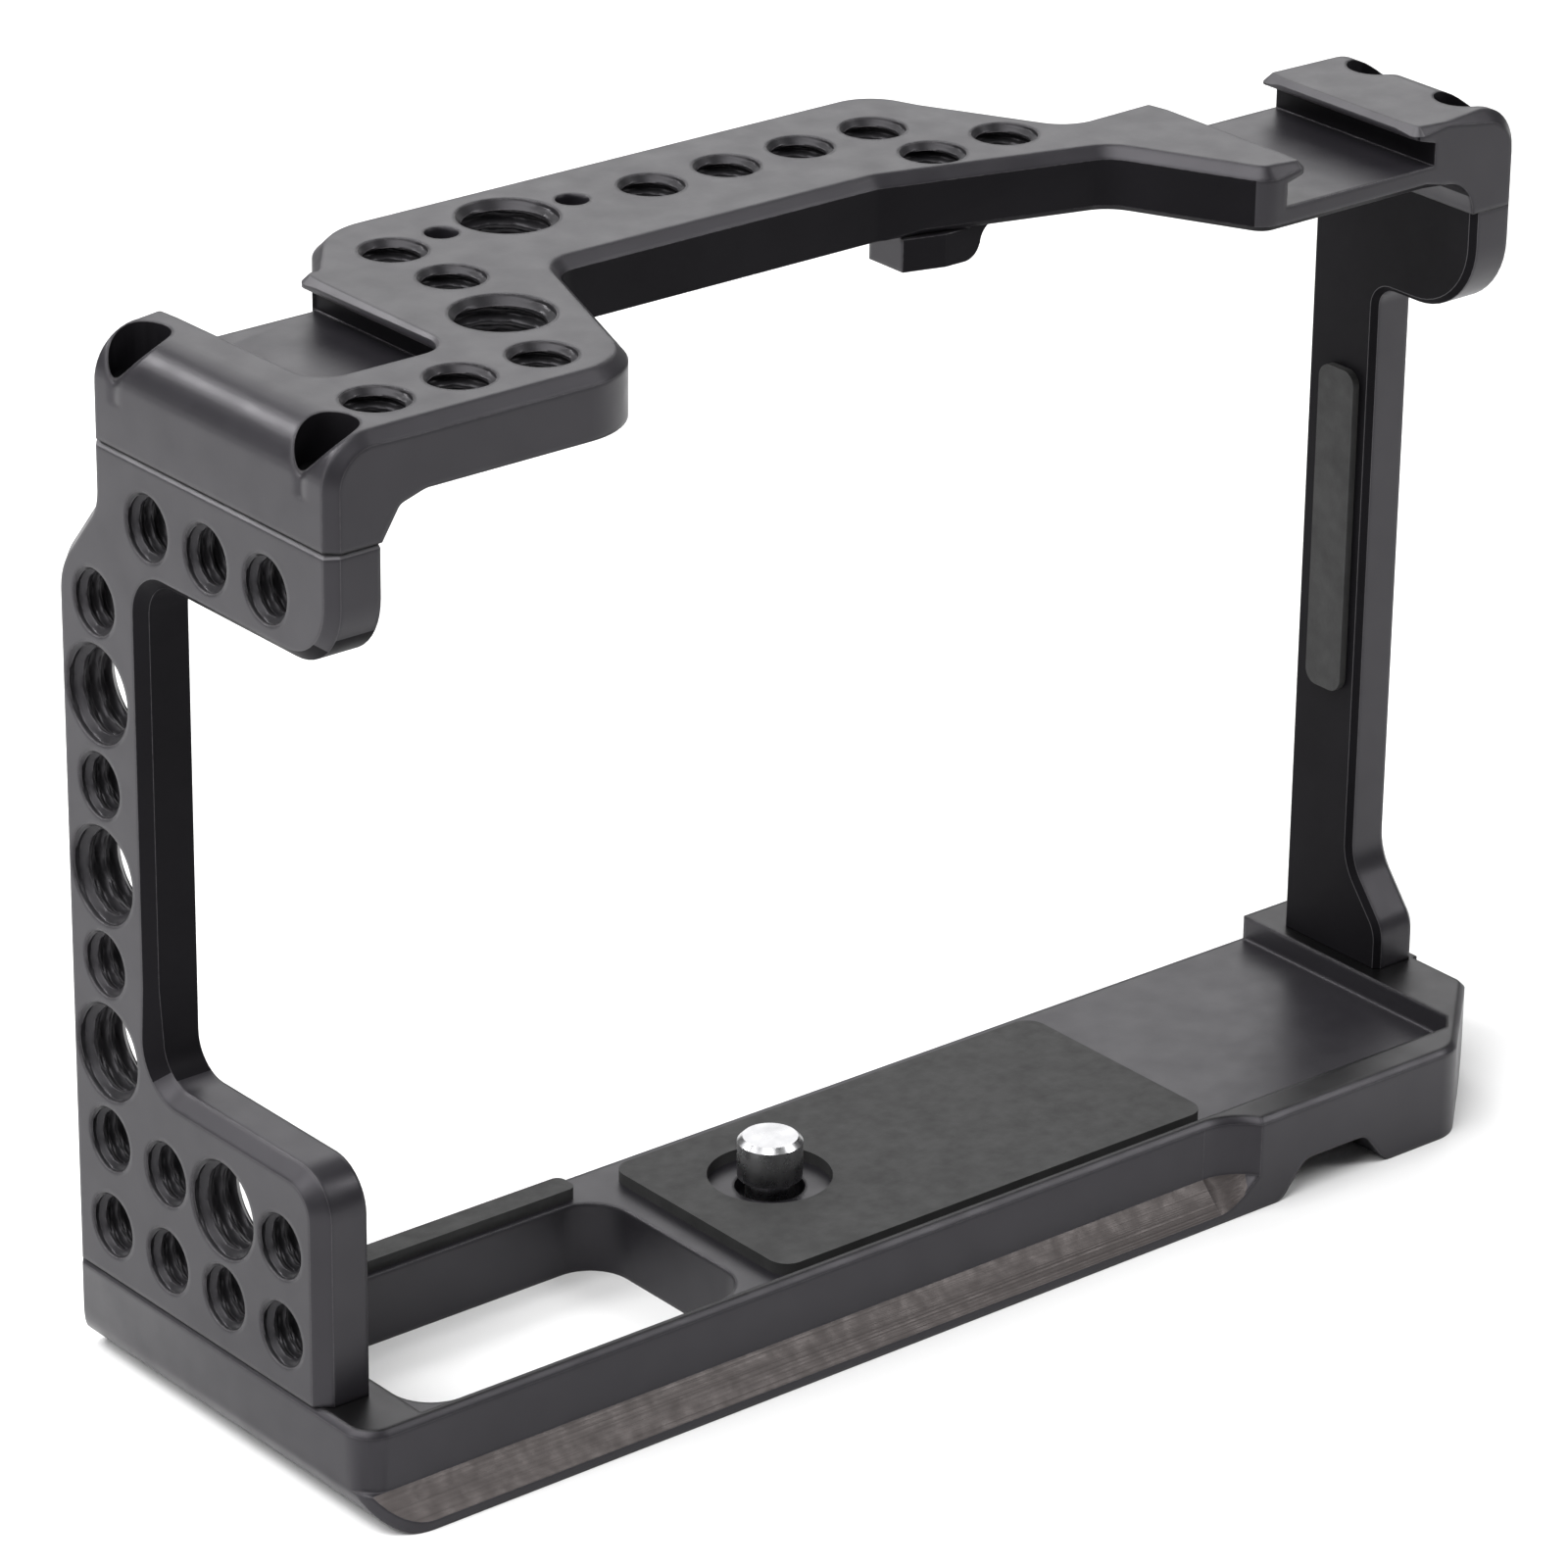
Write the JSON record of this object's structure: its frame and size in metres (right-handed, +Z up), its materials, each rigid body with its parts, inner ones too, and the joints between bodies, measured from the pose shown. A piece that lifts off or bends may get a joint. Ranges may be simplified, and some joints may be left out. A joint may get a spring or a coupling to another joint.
{
  "type": "camera cage",
  "caption": "Black anodised aluminium frame that encloses a mirrorless camera, with threaded holes, cold shoes, a dovetail rail and a captive camera screw.",
  "frame": {"origin": "middle of the cage's footprint, on the plane of its underside", "axes": "+X to the right as the viewer behind the camera sees it, +Y to the lens side, +Z up"},
  "size_m": [0.1422, 0.0498, 0.1024],
  "materials": {
    "anodised": "fine satin black anodised",
    "screw_steel": "blackened",
    "pin_steel": "ground",
    "spring_steel": "oiled",
    "camera_screw_steel": "turned",
    "ring_steel": "drawn wire",
    "nylon": "natural",
    "pad_rubber": "fine grain"
  },
  "bodies": {
    "cage": {"top_plate": "anodised", "left_side_plate": "anodised", "right_side_bar": "anodised", "bottom_plate": "anodised", "top_left_screws": "screw_steel", "top_right_screws": "screw_steel", "bottom_left_screws": "screw_steel", "bottom_right_screws": "screw_steel", "top_left_dowels": "pin_steel", "top_right_dowel": "pin_steel", "bottom_left_dowels": "pin_steel", "bottom_right_dowel": "pin_steel", "retaining_clip": "spring_steel", "floor_pad": "pad_rubber", "front_floor_pad": "pad_rubber", "left_wall_pad": "pad_rubber", "right_bar_pad": "pad_rubber"},
    "washer": {"screw_washer": "nylon"},
    "screw": {"camera_screw": "camera_screw_steel"},
    "ring": {"screw_ring": "ring_steel"}
  },
  "joints": [
    {"name": "screw_travel", "type": "slide", "parent": "cage", "child": "washer", "axis": [0, 0, -1], "range_m": [0, 0.0041]},
    {"name": "screw_spin", "type": "hinge", "parent": "washer", "child": "screw", "pos_m": [-0.00915, -0.00255, 0.002], "axis": [0, 0, -1], "range_deg": [0, 1160]},
    {"name": "ring_fold", "type": "hinge", "parent": "screw", "child": "ring", "pos_m": [-0.00915, -0.00255, 0.0016], "axis": [0, 1, 0], "range_deg": [0, 180]}
  ],
  "couplings": [
    {"joint": "screw_travel", "follows": "screw_spin", "m_per_rad": 0.00020213}
  ]
}
